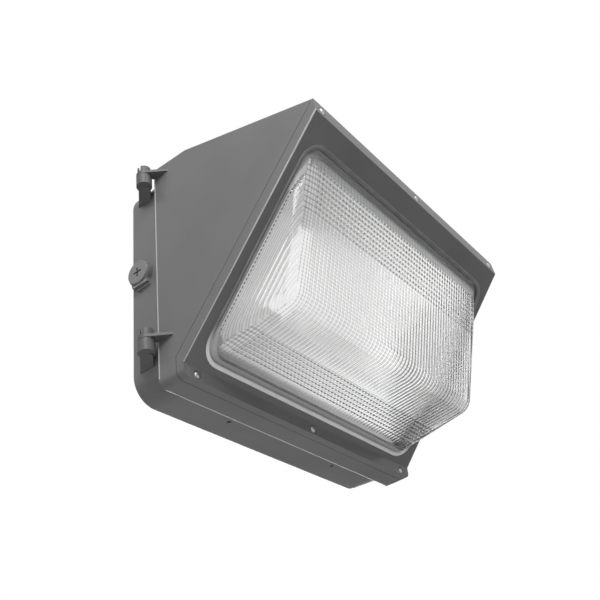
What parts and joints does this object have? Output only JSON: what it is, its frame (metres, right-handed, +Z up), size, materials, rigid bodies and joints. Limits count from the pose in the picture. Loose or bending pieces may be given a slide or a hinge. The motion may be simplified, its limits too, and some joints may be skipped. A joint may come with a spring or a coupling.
{
  "type": "wall pack light",
  "caption": "Outdoor wall light: a shallow cast back box with a hinged wedge housing that holds a slanted lens frame, a ribbed glass bowl, a reflector and circuit boards.",
  "frame": {"origin": "centre of the four wall screw holes, on the wall plane behind the back box, which is also the centre of the rear wire entry", "axes": "+Z up, +Y into the wall, so the light stands out along -Y, +X to the right for someone facing it"},
  "size_m": [0.3897, 0.2318, 0.2525],
  "materials": {
    "cast_paint": "powder coat, fine texture",
    "plug_paint": "powder coat",
    "seal_rubber": "closed-cell sponge",
    "seal_silicone": "pale grey silicone",
    "stainless": "plain stainless",
    "glass_clear": "prismatic pressed glass",
    "pan_white": "white reflector paint",
    "board_white": "white solder mask",
    "chip_phosphor": "phosphor",
    "aluminium_plain": "extruded",
    "zinc_sheet": "zinc plated",
    "terminal_plastic": "moulded",
    "ground_green": "green passivated"
  },
  "bodies": {
    "wall_box": {"back_box": "cast_paint", "wall_seal": "seal_rubber", "conduit_plug_left": "plug_paint", "conduit_plug_right": "plug_paint", "led_driver": "aluminium_plain", "driver_bracket": "zinc_sheet", "driver_screws": "stainless", "terminal_block": "terminal_plastic", "ground_screw": "ground_green", "hinge_arm_upper": "cast_paint", "hinge_arm_lower": "cast_paint", "box_lug_upper": "cast_paint", "box_lug_lower": "cast_paint"},
    "door": {"housing": "cast_paint", "housing_seal": "seal_rubber", "lens_frame": "cast_paint", "refractor": "glass_clear", "lens_seal_front": "seal_silicone", "lens_seal_rear": "seal_silicone", "frame_screws_top": "stainless", "frame_screws_bottom": "stainless", "reflector_pan": "pan_white", "pan_screws": "stainless", "led_board_left": "board_white", "led_board_right": "board_white", "led_chips": "chip_phosphor", "heat_sink": "aluminium_plain", "door_screw_rings": "stainless", "hinge_pin_upper": "cast_paint", "hinge_pin_lower": "cast_paint", "door_screw_upper": "stainless", "door_screw_lower": "stainless", "hinge_ear_upper": "cast_paint", "hinge_ear_lower": "cast_paint", "door_lug_upper": "cast_paint", "door_lug_lower": "cast_paint"}
  },
  "joints": [
    {"name": "door_hinge", "type": "hinge", "parent": "wall_box", "child": "door", "pos_m": [-0.188, -0.0326, 0], "axis": [0, 0, -1], "range_deg": [0, 100]}
  ]
}
